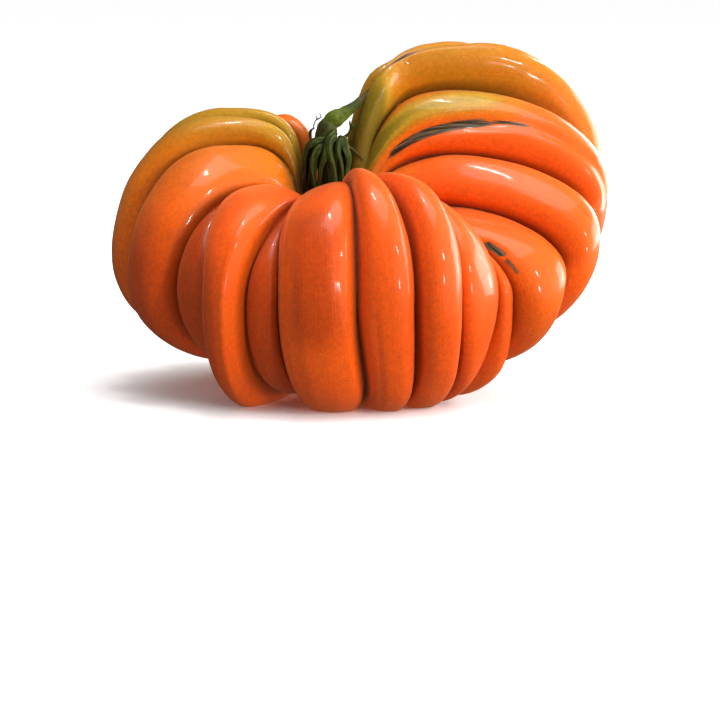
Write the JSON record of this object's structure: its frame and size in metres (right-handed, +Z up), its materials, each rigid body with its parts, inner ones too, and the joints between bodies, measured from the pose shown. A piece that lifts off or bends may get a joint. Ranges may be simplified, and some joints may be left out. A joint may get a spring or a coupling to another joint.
{
  "type": "ribbed tomato",
  "caption": "Large pleated tomato with deep curved ribs, a hollow for the green stem and draping sepals, and lobes that stand taller on one side.",
  "frame": {"origin": "on the surface the fruit rests on, under the middle of the object's box", "axes": "+Z up; +X to the right, towards the tall lobes, seen from the side with the long upright ribs; -Y towards that side"},
  "size_m": [0.1229, 0.0978, 0.0851],
  "materials": {
    "skin": "smooth waxy skin, orange with olive and ochre on the tall shoulders",
    "stem": "matt green stalk, drying to brown at its end",
    "sepals": "matt dark green, thin and wilted"
  },
  "bodies": {
    "root": {"fruit": "skin", "stem": "stem", "sepal_back": "sepals", "sepal_back_left": "sepals", "sepal_back_right": "sepals", "sepal_front": "sepals", "sepal_front_left": "sepals", "sepal_front_right": "sepals", "sepal_left": "sepals", "sepal_left_back": "sepals", "sepal_left_curl": "sepals", "sepal_left_front": "sepals", "sepal_left_low": "sepals", "sepal_right": "sepals", "sepal_right_front": "sepals", "sepal_right_low": "sepals", "sepal_right_upright": "sepals"}
  },
  "joints": []
}
